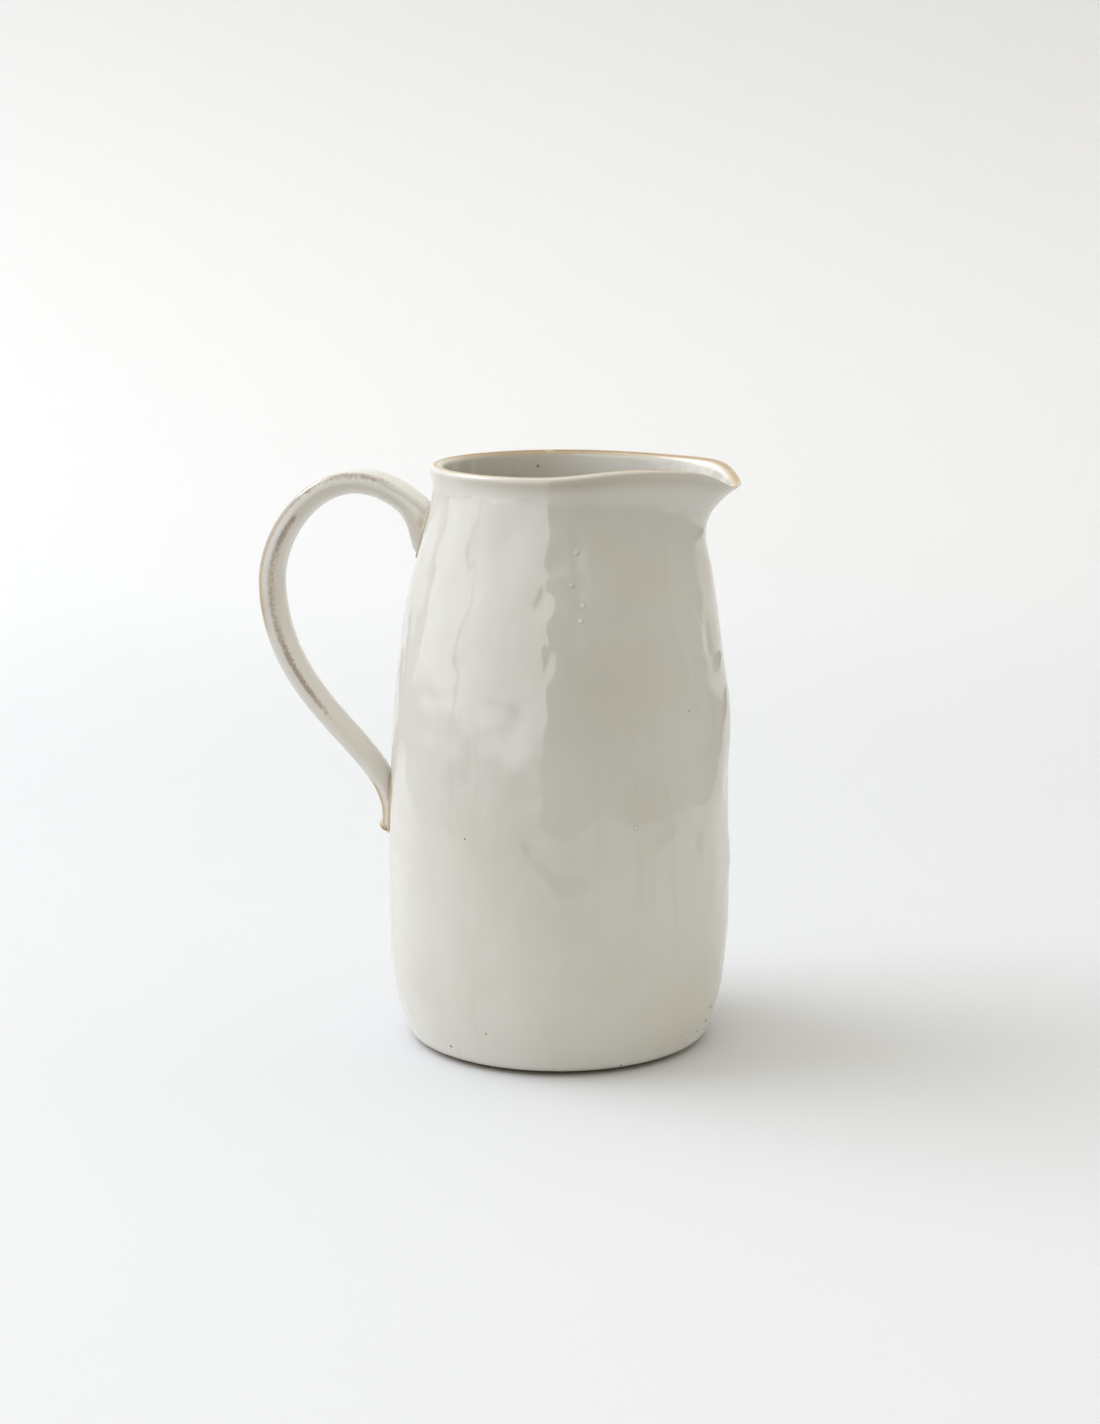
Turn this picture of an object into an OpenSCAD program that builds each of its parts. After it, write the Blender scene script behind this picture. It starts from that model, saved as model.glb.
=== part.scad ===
// Hand-built ceramic pitcher: a base slab on a foot ring, a coiled wall, a rim band
// with a pulled pouring lip, and a pulled strap handle luted to the wall with slip.
// Millimetres. The table is at z = 0, the lip points to +X and the handle to -X.

/* [Body] */
// Height of the rim above the table
height = 250; // [220:1:290]
// Outside radius at the bottom edge of the wall
heel_r = 64.5; // [60:0.5:69]
// Outside radius of the belly, the widest part
belly_r = 74; // [70:0.5:82]
// Height of the widest part
belly_z = 65; // [50:1:80]
// Outside radius of the round rim
rim_r = 55; // [50:0.5:60]
// Lean of the neck towards the lip
lean = 1.9; // [0:0.1:5]
// Wall thickness at the heel
wall_t = 5.5; // [4.5:0.1:7]
// Wall thickness at the rim
rim_t = 4; // [3:0.1:5]

/* [Base] */
// Height of the foot ring under the base slab
foot_h = 1.5; // [1:0.1:3]
// Width of the foot ring
foot_w = 9; // [6:0.5:14]
// Thickness of the base slab
base_t = 8; // [6:0.5:12]
// Leg of the coil pressed into the corner between floor and wall
coil_leg = 8; // [5:0.5:12]

/* [Rim and lip] */
// Height of the rim band under the round rim
band_h = 14; // [12:0.5:20]
// Reach of the pouring lip past the round rim
lip_reach = 20; // [10:0.5:24]
// Drop of the tip of the lip under the rim
lip_dip = 9; // [4:0.1:9.5]
// Height over which the wall flares into the lip
lip_rise = 40; // [32:1:55]
// Spread of the lip to each side, in degrees around the rim
lip_spread = 50; // [36:1:60]
// Turn of the lip away from the line through the handle, in degrees
lip_turn = -4; // [-8:1:8]
// Swell of the rim on the near shoulder of the lip
near_swell = 2.9; // [0:0.1:5]
// Swell of the rim on the far shoulder of the lip
far_swell = 0; // [-3:0.1:3]

/* [Handle] */
// Stand-off of the strap from the belly, to its centre line
handle_stand = 51; // [42:1:62]
// Depth of the outermost point of the strap under the rim
handle_drop = 53; // [46:1:62]
// Depth of the upper joint under the rim
root_drop = 28; // [25:1:34]
// Height of the tail end of the strap above the table
tail_z = 87; // [76:1:98]
// Width of the strap at its outermost point
strap_w = 21; // [17:0.5:25]
// Thickness of the strap at its outermost point
strap_t = 9; // [7.5:0.1:10.5]
// Thickness of the slip in the two handle joints
slip_t = 1; // [0.7:0.1:1.6]

/* [Hidden] */
$fn = 96;

// Air left in each joint, which slip fills on the real pot
joint = 0.12;
glaze = [0.90, 0.89, 0.85];
clay = [0.76, 0.66, 0.50];

// Steps around the pot, up the wall, up the rim band, around and along the strap
round_steps = 72;
wall_rows = 26;
band_rows = 3;
strap_sides = 24;
strap_rings = 46;
// How far the wall's rows crowd towards its two ends, and the step of its round edges in degrees
row_crowding = 0.1;
edge_step = 30;

floor_z = foot_h + base_t;
seam_z = height - band_h;
heel_round = 2.5;
heel_z = foot_h + heel_round;
foot_inset = 1.5;
foot_chamfer = 0.4;
coil_edge = 0.8;

// Share of each stretch of the profile that its curve handles take
heel_swell = 0.54;
heel_share = 0.23;
belly_share = 0.66;
shoulder_share = 0.824;
neck_share = 0.2;
neck_pinch = 1.2;

// Lip: how it gains reach going up, and how its reach and dip fade around the rim
lip_curl = 2.3;
lip_fade = 2.75;
dip_share = 0.46;
dip_spread = lip_spread * dip_share;
dip_fade = 3.2;
swell_at = 53;
swell_spread = 21;

// Strap: pull of its curve handles, size of the upper joint, and the change of its section
root_lift = 2;
root_angle = 50;
root_pull = 51;
crest_pull = 29;
out_pull = 59;
tail_angle = 19;
tail_pull = 39;
tail_lift = 0.8;
root_flare = 7;
root_w = strap_w + root_flare;
root_h = 25;
root_blend = 0.15;
root_swell = 1.5;
crest_flare = 4;
tail_taper = 2;
corner_power = 2.6;
pad_rim = 0.6;
tail_pad_h = 26;

function mix(a, b, t) = a + (b - a) * t;
function smooth(t) = let (u = min(1, max(0, t))) u * u * (3 - 2 * u);
function bezier(p, t) = let (s = 1 - t)
    s * s * s * p[0] + 3 * s * s * t * p[1] + 3 * s * t * t * p[2] + t * t * t * p[3];
function bezier_slope(p, t) = let (s = 1 - t)
    s * s * (p[1] - p[0]) + 2 * s * t * (p[2] - p[1]) + t * t * (p[3] - p[2]);

// Outside profile of the wall, as radius and height: heel to belly, then belly to rim
heel_curve = [
    [heel_r, foot_h],
    [mix(heel_r, belly_r, heel_swell), mix(foot_h, belly_z, heel_share)],
    [belly_r, mix(belly_z, foot_h, belly_share)],
    [belly_r, belly_z]
];
neck_curve = [
    [belly_r, belly_z],
    [belly_r, mix(belly_z, height, shoulder_share)],
    [rim_r - neck_pinch, mix(height, belly_z, neck_share)],
    [rim_r, height]
];

// Place on a profile curve at height z, found by halving
function place_at(curve, z, low = 0, high = 1, halvings = 24) = let (middle = (low + high) / 2)
    halvings == 0 ? middle
    : bezier(curve, middle)[1] < z ? place_at(curve, z, middle, high, halvings - 1)
    : place_at(curve, z, low, middle, halvings - 1);
function wall_r(z) = let (curve = z < belly_z ? heel_curve : neck_curve)
    bezier(curve, place_at(curve, z))[0];
function wall_t_at(z) = mix(wall_t, rim_t, z / height);
function inner_r(z) = wall_r(z) - wall_t_at(z);
function lean_at(z) = lean * smooth((z - belly_z) / (height - belly_z));

// Height of the rim at angle a: it dips at the tip of the lip and swells on the lip's shoulders
function from_lip(a) = let (d = a - lip_turn) d > 180 ? d - 360 : d < -180 ? d + 360 : d;
function rim_z(a) = let (d = from_lip(a), swell = d < 0 ? near_swell : far_swell)
    height - lip_dip * exp(-pow(abs(d) / dip_spread, dip_fade))
    + swell * exp(-pow((abs(d) - swell_at) / swell_spread, 2));

// The pouring lip, as a pull along +X that grows up to the rim and fades around it
function lip_pull(a, z) = let (start_z = height - lip_rise)
    lip_reach * exp(-pow(abs(from_lip(a)) / lip_spread, lip_fade))
    * pow(max(0, z - start_z) / (rim_z(a) - start_z), lip_curl);

// Point of the wall at angle a and height z, set in from the outside by inset
function wall_point(a, z, inset = 0) = let (r = wall_r(z) - inset)
    [r * cos(a) + lean_at(z) + lip_pull(a, z), r * sin(a), z];
function heel_point(a, p) = let (r = wall_r(heel_z) - heel_round * (1 - cos(p)))
    [r * cos(a), r * sin(a), heel_z - heel_round * sin(p)];
// Rows of the wall stand closer together towards the heel and the lip, where it bends most
function row_z(bottom_z, k) = let (u = k / wall_rows) 
    mix(bottom_z, seam_z, u - row_crowding * sin(360 * u));
function wall_section(a) = [
    for (p = [90:-edge_step:edge_step]) heel_point(a, p),
    for (k = [0:wall_rows]) wall_point(a, row_z(heel_z, k)),
    for (k = [wall_rows:-1:0]) let (z = row_z(foot_h, k)) wall_point(a, z, wall_t_at(z))
];
function band_section(a) = let (side_z = rim_z(a) - rim_t / 2) [
    for (k = [0:band_rows]) wall_point(a, mix(seam_z, side_z, k / band_rows)),
    for (p = [edge_step:edge_step:180 - edge_step])
        wall_point(a, side_z + rim_t / 2 * sin(p), rim_t / 2 * (1 - cos(p))),
    for (k = [band_rows:-1:0]) let (z = mix(seam_z, side_z, k / band_rows)) wall_point(a, z, wall_t_at(z))
];

// Closed ring of sections around the pot
module ring_solid(sections) {
    n = len(sections);
    m = len(sections[0]);
    polyhedron(
        points = [for (s = sections) each s],
        faces = [for (i = [0:n - 1], k = [0:m - 1])
            let (a = i * m, b = (i + 1) % n * m, next = (k + 1) % m)
            each [[a + k, a + next, b + next], [a + k, b + next, b + k]]]
    );
}

// Stack of rings closed by a pole point at each end
module capped_solid(rings, first_pole, last_pole) {
    n = len(rings);
    m = len(rings[0]);
    polyhedron(
        points = [for (r = rings) each r, first_pole, last_pole],
        faces = [
            for (i = [0:n - 2], k = [0:m - 1]) let (a = i * m, b = a + m, next = (k + 1) % m)
                each [[a + k, a + next, b + next], [a + k, b + next, b + k]],
            for (k = [0:m - 1]) [n * m, (k + 1) % m, k],
            for (k = [0:m - 1]) [n * m + 1, (n - 1) * m + k, (n - 1) * m + (k + 1) % m]
        ]
    );
}

round_angles = [for (i = [0:round_steps - 1]) i * 360 / round_steps - 180];
section_angles = [for (i = [0:strap_sides - 1]) i * 360 / strap_sides];

// Rounded-rectangle rule for the strap's section and for the patches under its ends
function squared(v) = sign(v) * pow(abs(v), 2 / corner_power);

// Point on the handle side of the wall at side offset y and height z, lifted off by gap
function on_wall(y, z, gap) = let (r = wall_r(z) + gap) [lean_at(z) - sqrt(r * r - y * y), y, z];
function off_wall(p) = let (c = lean_at(p[2]), d = norm([p[0] - c, p[1]]), r = wall_r(p[2]) + slip_t)
    d >= r ? p : [c + (p[0] - c) * r / d, p[1] * r / d, p[2]];
function patch(z, w, h, gap, share = 1) = [for (p = section_angles)
    on_wall(share * w / 2 * squared(cos(p)), z + share * h / 2 * squared(sin(p)), gap)];

// Centre line of the strap in the XZ plane: upper joint to outermost point, then down to the tail
root_z = height - root_drop;
root = [on_wall(0, root_z + root_lift, 0)[0], root_z + root_lift];
out = [-belly_r - handle_stand, height - handle_drop];
tail = [on_wall(0, tail_z, tail_lift)[0], tail_z];
upper_path = [
    root,
    root + root_pull * [-cos(root_angle), sin(root_angle)],
    out + [0, crest_pull],
    out
];
lower_path = [
    out,
    out - [0, out_pull],
    tail + tail_pull * [sin(tail_angle), cos(tail_angle)],
    tail
];
function strap_center(s) = s < 1 ? bezier(upper_path, s) : bezier(lower_path, s - 1);
function strap_slope(s) = let (d = s < 1 ? bezier_slope(upper_path, s) : bezier_slope(lower_path, s - 1))
    d / norm(d);
function strap_width(s) = strap_w + crest_flare * (1 - smooth(s)) - tail_taper * smooth(s - 1);
function strap_depth(s) = strap_t + root_swell * (1 - smooth(s));
function sweep_ring(s) = let (c = strap_center(s), d = strap_slope(s)) [for (p = section_angles)
    let (lift = strap_depth(s) / 2 * squared(sin(p)))
    [c[0] + lift * d[1], strap_width(s) / 2 * squared(cos(p)), c[1] - lift * d[0]]];
function strap_ring(s) = let (joint_ring = patch(root_z, root_w, root_h, slip_t),
                              sweep = sweep_ring(s), share = smooth(s / root_blend))
    [for (i = [0:strap_sides - 1]) off_wall(mix(joint_ring[i], sweep[i], share))];

// Bare clay ring that the pitcher stands on
module foot_ring() {
    outer = inner_r(foot_h) - joint - foot_inset;
    color(clay) rotate_extrude() polygon([
        [outer - foot_w, foot_h],
        [outer - foot_w, foot_chamfer],
        [outer - foot_w + foot_chamfer, 0],
        [outer - foot_chamfer, 0],
        [outer, foot_chamfer],
        [outer, foot_h]
    ]);
}

// Base slab, bevelled to fit inside the foot of the wall
module base_disc() {
    color(glaze) rotate_extrude() polygon([
        [0, foot_h],
        [inner_r(foot_h) - joint, foot_h],
        [inner_r(floor_z) - joint, floor_z],
        [0, floor_z]
    ]);
}

// Coil smeared into the corner between the floor and the wall
module seam_coil() {
    corner_r = inner_r(floor_z) - joint;
    top_z = floor_z + coil_leg;
    color(glaze) rotate_extrude() difference() {
        polygon([
            [corner_r - coil_leg, floor_z],
            [corner_r, floor_z],
            [inner_r(top_z) - joint, top_z],
            [corner_r - coil_leg, top_z]
        ]);
        translate([corner_r - coil_leg, top_z]) circle(r = coil_leg - coil_edge);
    }
}

// Coiled wall from the heel to the level seam under the rim band
module body_wall() {
    color(glaze) ring_solid([for (a = round_angles) wall_section(a)]);
}

// Rim band with its rounded edge, drawn out into the pouring lip
module rim_band() {
    color(glaze) ring_solid([for (a = round_angles) band_section(a)]);
}

// Pulled strap handle, lapped onto the wall at its tail
module handle_strap() {
    rings = [for (i = [0:strap_rings]) strap_ring(2 * i / strap_rings)];
    tail_ring = rings[strap_rings];
    color(glaze) capped_solid(
        [for (share = [1 / 3, 2 / 3]) patch(root_z, root_w, root_h, slip_t, share), each rings],
        on_wall(0, root_z, slip_t),
        [for (axis = [0:2]) [for (p = tail_ring) p[axis]] * [for (p = tail_ring) 1 / strap_sides]]
    );
}

// Layer of slip between the wall and an end of the strap
module slip_pad(z, w, h) {
    shares = [1 / 3, 2 / 3, 1];
    under = joint;
    over = slip_t - joint;
    color(clay) capped_solid(
        [for (share = shares) patch(z, w, h, over, share),
         for (i = [2:-1:0]) patch(z, w, h, under, shares[i])],
        on_wall(0, z, over),
        on_wall(0, z, under)
    );
}

module upper_slip() {
    slip_pad(root_z, root_w + 2 * pad_rim, root_h + 2 * pad_rim);
}

module lower_slip() {
    slip_pad(tail_z + tail_pad_h / 2 + pad_rim, strap_width(2) - 2 * pad_rim, tail_pad_h);
}

foot_ring();
base_disc();
seam_coil();
body_wall();
rim_band();
handle_strap();
upper_slip();
lower_slip();
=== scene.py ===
import math
from bisect import bisect
from math import cos, exp, radians, sin

import bpy
from mathutils import Euler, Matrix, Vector
from mathutils.geometry import interpolate_bezier


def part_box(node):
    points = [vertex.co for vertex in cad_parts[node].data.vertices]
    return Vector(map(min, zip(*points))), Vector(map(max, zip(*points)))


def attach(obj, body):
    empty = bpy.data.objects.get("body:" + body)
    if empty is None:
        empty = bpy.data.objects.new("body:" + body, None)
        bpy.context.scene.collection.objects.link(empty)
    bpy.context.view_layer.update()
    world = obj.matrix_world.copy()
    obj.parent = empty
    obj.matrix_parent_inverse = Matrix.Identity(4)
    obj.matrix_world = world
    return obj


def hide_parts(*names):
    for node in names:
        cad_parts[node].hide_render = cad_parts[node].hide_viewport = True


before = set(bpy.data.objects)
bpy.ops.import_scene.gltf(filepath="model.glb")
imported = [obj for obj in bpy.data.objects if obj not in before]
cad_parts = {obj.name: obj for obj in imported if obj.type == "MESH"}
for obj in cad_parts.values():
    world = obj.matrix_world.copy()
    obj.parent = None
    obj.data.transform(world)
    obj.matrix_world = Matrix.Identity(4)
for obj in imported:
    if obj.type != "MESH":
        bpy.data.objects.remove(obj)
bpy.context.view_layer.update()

# Base slab
# The round floor of the pitcher: a rolled slab of stoneware, cut to fit inside the foot of the wall.
# Its upper face is glazed and shows the rings left by the finger that smoothed it; below it is bare clay.
height = 0.250
foot_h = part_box("base_disc")[0].z
floor_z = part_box("base_disc")[1].z
heel_r = 0.0653
belly_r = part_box("body_wall")[1].y
belly_z = 0.065
rim_r = 0.055
heel_t = 0.0055
rim_t = 0.004
clay_gap = 0.00012
slab_edge = 0.0006
pole_r = 0.0005
finger_pitch = 0.009
finger_groove = 0.0004
profile_steps = 80

# Outside profile of the wall, as radius and height: heel to belly, then belly to rim
heel_curve = [(heel_r, foot_h), (0.0704, 0.0161), (belly_r, 0.0231), (belly_r, belly_z)]
neck_curve = [(belly_r, belly_z), (belly_r, 0.2174), (rim_r - 0.0012, 0.213), (rim_r, height)]
profile = [
    point
    for curve in (heel_curve, neck_curve)
    for point in interpolate_bezier(*[Vector((r, z)) for r, z in curve], profile_steps)
]
profile_z = [point.y for point in profile]


def outside_r(z):
    """Outside radius of the wall at a height."""
    k = min(max(bisect(profile_z, z), 1), len(profile) - 1)
    low, high = profile[k - 1], profile[k]
    return low.x + (high.x - low.x) * (z - low.y) / max(high.y - low.y, 1e-9)


def inside_r(z):
    """Inside radius of the wall, which thins from heel to rim."""
    return outside_r(z) - heel_t - (rim_t - heel_t) * z / height


def turned(name, rings, steps=64, hollow=True):
    """Adds a round clay piece: a circle, extruded from ring to ring along a list of radius and height."""
    bpy.ops.object.select_all(action="DESELECT")
    bpy.ops.mesh.primitive_circle_add(vertices=steps, radius=rings[0][0], location=(0, 0, rings[0][1]))
    bpy.ops.object.transform_apply(location=True)
    piece = bpy.context.object
    piece.name = name
    bpy.ops.object.mode_set(mode="EDIT")
    bpy.ops.mesh.select_all(action="SELECT")
    for (r, z), (next_r, next_z) in zip(rings, rings[1:]):
        bpy.ops.mesh.extrude_region_move(TRANSFORM_OT_translate={"value": (0, 0, next_z - z)})
        bpy.ops.transform.resize(value=(next_r / r, next_r / r, 1), center_override=(0, 0, next_z))
    bpy.ops.mesh.select_all(action="DESELECT")
    bpy.ops.mesh.select_non_manifold()
    if hollow:
        bpy.ops.mesh.bridge_edge_loops()
    else:
        bpy.ops.mesh.fill_holes(sides=steps)
    bpy.ops.mesh.select_all(action="SELECT")
    bpy.ops.mesh.normals_make_consistent(inside=False)
    bpy.ops.object.mode_set(mode="OBJECT")
    return piece


def finish_with(piece, kind, **settings):
    """Adds one modifier to a piece and applies it."""
    bpy.context.view_layer.objects.active = piece
    modifier = piece.modifiers.new(kind, kind)
    for name, value in settings.items():
        setattr(modifier, name, value)
    bpy.ops.object.modifier_apply(modifier=modifier.name)


def weigh(piece, name, share):
    """Makes a vertex group that holds, for each point of a piece, the share from 0 to 1."""
    group = piece.vertex_groups.new(name=name)
    for vertex in piece.data.vertices:
        group.add([vertex.index], min(1, max(0, share(vertex.co))), "REPLACE")


def press(piece, direction, amount, share):
    """Moves the clay by amount, at each point as far as the share says."""
    weigh(piece, "pressed", share)
    settings = {"direction": direction, "strength": amount, "mid_level": 0}
    finish_with(piece, "DISPLACE", vertex_group="pressed", **settings)
    piece.vertex_groups.remove(piece.vertex_groups["pressed"])


def note(piece, name, share):
    """Stores a share for each point as an attribute, for the piece's material."""
    layer = piece.data.attributes.new(name, "FLOAT", "POINT")
    layer.data.foreach_set("value", [min(1, max(0, share(v.co))) for v in piece.data.vertices])


def finish_off(piece, material, slot, *nodes):
    """Shades a finished piece, and sets it in the frame in place of its CAD nodes."""
    piece.data.materials.append(material)
    bpy.ops.object.select_all(action="DESELECT")
    piece.select_set(True)
    bpy.context.view_layer.objects.active = piece
    bpy.ops.object.shade_smooth_by_angle(angle=radians(40))
    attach(piece, "root")
    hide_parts(*nodes)


def add(tree, kind, sockets, **settings):
    """Adds a shader node, sets its options and feeds its sockets with values or other nodes' outputs."""
    node = tree.nodes.new("ShaderNode" + kind)
    for name, value in settings.items():
        setattr(node, name, value)
    for name, value in sockets.items():
        if isinstance(value, bpy.types.NodeSocket):
            tree.links.new(value, node.inputs[name])
        else:
            node.inputs[name].default_value = value
    return node.outputs


def noise(tree, place, size, detail=2.0, stretch=(1, 1, 1)):
    """Soft blotches of a size in metres, drawn out along the axes by stretch."""
    drawn = add(tree, "Mapping", {"Vector": place, "Scale": [1 / s for s in stretch]})["Vector"]
    return add(tree, "TexNoise", {"Vector": drawn, "Scale": 1 / size, "Detail": detail})["Fac"]


def fade(tree, value, start, end):
    """Runs smoothly from 0 at start to 1 at end."""
    sockets = {"Value": value, "From Min": start, "From Max": end}
    return add(tree, "MapRange", sockets, interpolation_type="SMOOTHSTEP")["Result"]


def math_of(tree, operation, a, b):
    """Works out one value from two."""
    return add(tree, "Math", {0: a, 1: b}, operation=operation)["Value"]


def vector_of(tree, operation, a, b):
    """Works out a place or a distance from two places."""
    return add(tree, "VectorMath", {0: a, 1: b}, operation=operation)


def noted(tree, name):
    """The share that note() stored under a name, or 0 on a piece without it."""
    return add(tree, "Attribute", {}, attribute_name=name)["Fac"]


def blend(tree, share, colour, over):
    """Lays one colour over another by a share."""
    sockets = {0: share, 6: colour, 7: over}
    return add(tree, "Mix", sockets, data_type="RGBA")[2]


def specks(tree, place, spacing, size, keep):
    """Scattered dots: one in each cell of a spacing, of which a share is kept."""
    cells = add(tree, "TexVoronoi", {"Vector": place, "Scale": 1 / spacing})
    dot = fade(tree, cells["Distance"], size / spacing, 0.5 * size / spacing)
    chosen = add(tree, "SeparateColor", {"Color": cells["Color"]})["Red"]
    return math_of(tree, "MULTIPLY", dot, math_of(tree, "LESS_THAN", chosen, keep))


def bumped(tree, layers):
    """A surface normal from several heights, each with its depth in metres."""
    normal = None
    for value, depth in layers:
        sockets = {"Height": value, "Distance": depth, "Strength": 1.0}
        if normal:
            sockets["Normal"] = normal
        normal = add(tree, "Bump", sockets)["Normal"]
    return normal


def start_material(name, roughness):
    """An empty material, with its tree, its shader and the piece's own coordinates."""
    material = bpy.data.materials.new(name)
    material.use_nodes = True
    tree = material.node_tree
    shader = tree.nodes["Principled BSDF"]
    shader.inputs["Roughness"].default_value = roughness
    shader.inputs["IOR"].default_value = 1.5
    place = add(tree, "TexCoord", {})["Object"]
    return material, tree, shader, place


# Colours of the glaze, from where it lies thickest to the clay that shows through; but the first white is
# painted light on the far inside, and the grey is painted shade on the inside
lit_inside_white = (0.90, 0.88, 0.83, 1)
second_white = (0.745, 0.722, 0.665, 1)
edge_tan = (0.58, 0.53, 0.46, 1)
veil_tan = (0.58, 0.51, 0.41, 1)
inside_shade_grey = (0.44, 0.41, 0.345, 1)
honey = (0.60, 0.48, 0.32, 1)
toast = (0.33, 0.21, 0.11, 1)
worn_clay = (0.44, 0.365, 0.295, 1)
pin_brown = (0.36, 0.28, 0.20, 1)
glossy = 0.05
satin = 0.22
dry = 0.6


def glaze(name, cream, pooled, marks=(), drops=(), runs=()):
    """Glossy white glaze: cloudy, honey and brown where it lies thin, with specks, drops and thick runs,
    and painted shade and painted light on the inside.
    """
    material, tree, shader, place = start_material(name, glossy)
    cloud = noise(tree, place, 0.05, 3)
    streak = noise(tree, place, 0.009, 2, stretch=(1, 1, 9))
    grain = noise(tree, place, 0.0012, 2)
    patch = noise(tree, place, 0.006, 3)
    inside = noted(tree, "inside")
    thin = noted(tree, "thin")
    colour = blend(tree, fade(tree, cloud, 0.35, 0.7), cream, pooled)
    colour = blend(tree, fade(tree, streak, 0.5, 0.8), colour, pooled)

    # The second coat, with a wandering edge, and painted light: whiter where the lamp shines onto the far
    # inside
    wander = math_of(tree, "MULTIPLY", noise(tree, place, 0.02, 3), 0.45)
    coat = math_of(tree, "ADD", noted(tree, "coat"), wander)
    second = fade(tree, coat, 0.68, 0.77)
    colour = blend(tree, second, colour, second_white)
    # Painted light: the thick note whitens the far inside where the lamp shines in
    colour = blend(tree, noted(tree, "thick"), colour, lit_inside_white)
    rim_of_coat = math_of(tree, "MULTIPLY", second, fade(tree, coat, 0.80, 0.73))
    rim_of_coat = math_of(tree, "MULTIPLY", rim_of_coat, fade(tree, patch, 0.42, 1.0))
    colour = blend(tree, rim_of_coat, colour, edge_tan)

    # It is duller on the second coat, and dry where it lies thin and under the painted shade of the inside
    dryness = math_of(tree, "MULTIPLY", math_of(tree, "MAXIMUM", inside, thin), dry)
    sheen = add(tree, "MapRange", {"Value": second, "To Min": glossy, "To Max": satin})["Result"]
    tree.links.new(math_of(tree, "MAXIMUM", sheen, dryness), shader.inputs["Roughness"])

    # Painted shade: grey on the inside. Then a tan veil under the rim, and thin glaze: honey and brown on
    # the edges, worn off at last
    inside_shade = math_of(tree, "MULTIPLY", inside, fade(tree, streak, 0.1, 0.6))
    colour = blend(tree, inside_shade, colour, inside_shade_grey)
    colour = blend(tree, noted(tree, "veil"), colour, veil_tan)
    thin = math_of(tree, "MULTIPLY", thin, fade(tree, patch, -0.15, 0.5))
    colour = blend(tree, fade(tree, thin, 0, 0.55), colour, honey)
    colour = blend(tree, fade(tree, thin, 0.5, 0.95), colour, toast)
    coarse = math_of(tree, "MULTIPLY", patch, 0.5)
    broken = math_of(tree, "ADD", math_of(tree, "MULTIPLY", grain, 0.9), coarse)
    worn = math_of(tree, "SUBTRACT", noted(tree, "worn"), broken)
    worn = fade(tree, worn, -0.3, 0.32)
    colour = blend(tree, worn, colour, worn_clay)

    # Pinholes all over, and single marks
    colour = blend(tree, specks(tree, place, 0.019, 0.0005, 0.3), colour, pin_brown)
    for centre, size, tone in marks:
        away = vector_of(tree, "DISTANCE", place, centre)["Value"]
        colour = blend(tree, fade(tree, away, size, 0.4 * size), colour, tone)
    tree.links.new(colour, shader.inputs["Base Color"])

    # The lie of the glaze: swells, ripples, the step of the coat, drops and long runs
    swell = noise(tree, place, 0.022, 1)
    ripple = noise(tree, place, 0.007, 1, stretch=(1, 1, 2.5))
    relief = [(swell, 0.0007), (ripple, 0.00018), (worn, -0.00005), (second, 0.00008)]
    for centre, size in drops:
        away = vector_of(tree, "DISTANCE", place, centre)["Value"]
        relief.append((fade(tree, away, size, 0), 0.4 * size))
    for centre, half_w, half_h in runs:
        off = vector_of(tree, "SUBTRACT", place, centre)["Vector"]
        shares = vector_of(tree, "DIVIDE", off, (half_w, half_w, half_h))["Vector"]
        reach = add(tree, "VectorMath", {0: shares}, operation="LENGTH")["Value"]
        reach = math_of(tree, "ADD", reach, noise(tree, place, 0.012, 1))
        relief.append((fade(tree, reach, 1.55, 1.45), 0.00012))
    tree.links.new(bumped(tree, relief), shader.inputs["Normal"])
    return material


iron_fleck = (0.14, 0.09, 0.06, 1)


def bare_clay(name, light, dark):
    """Fired clay without glaze: matt, sandy and flecked."""
    material, tree, shader, place = start_material(name, 0.85)
    cloud = noise(tree, place, 0.008, 4)
    sand = noise(tree, place, 0.0007, 2)
    colour = blend(tree, fade(tree, cloud, 0.3, 0.7), light, dark)
    colour = blend(tree, specks(tree, place, 0.003, 0.0005, 0.4), colour, iron_fleck)
    tree.links.new(colour, shader.inputs["Base Color"])
    normal = bumped(tree, [(cloud, 0.0004), (sand, 0.0002)])
    tree.links.new(normal, shader.inputs["Normal"])
    return material


floor_glaze = glaze("pooled_floor_glaze", (0.66, 0.63, 0.53, 1), (0.58, 0.55, 0.45, 1))
# Bare clay of the foot: brown, painted darker still as painted shade of the gap under the heel
dark_shaded_foot_clay = bare_clay("shade_darkened_clay", (0.17, 0.11, 0.065, 1), (0.11, 0.07, 0.04, 1))

slab_low_r = inside_r(foot_h) - clay_gap
slab_high_r = inside_r(floor_z) - clay_gap
slab_rings = [(r, foot_h) for r in (pole_r, 0.02, 0.045, slab_low_r - 0.001, slab_low_r)]
slab_rings += [(slab_low_r + slab_edge / 3, foot_h + slab_edge)]
slab_rings += [(slab_high_r, floor_z - slab_edge), (slab_high_r, floor_z)]
floor_steps = int(slab_high_r / finger_pitch * 4)
slab_rings += [(slab_high_r * (1 - k / floor_steps), floor_z) for k in range(1, floor_steps)]
slab_rings += [(pole_r, floor_z)]
slab = turned("base_slab", slab_rings, hollow=False)
finish_with(slab, "SUBSURF", levels=1, render_levels=1)
groove_r = slab_high_r - 0.008


def groove(point):
    """Depth of the finger's spiral groove, which ends short of the wall and isn't under the slab."""
    r = math.hypot(point.x, point.y)
    turn = math.atan2(point.y, point.x) / math.tau
    if point.z < floor_z - 0.001 or r > groove_r:
        return 0
    return 0.5 + 0.5 * cos(math.tau * (r / finger_pitch - turn))


press(slab, "Z", -finger_groove, groove)
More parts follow.
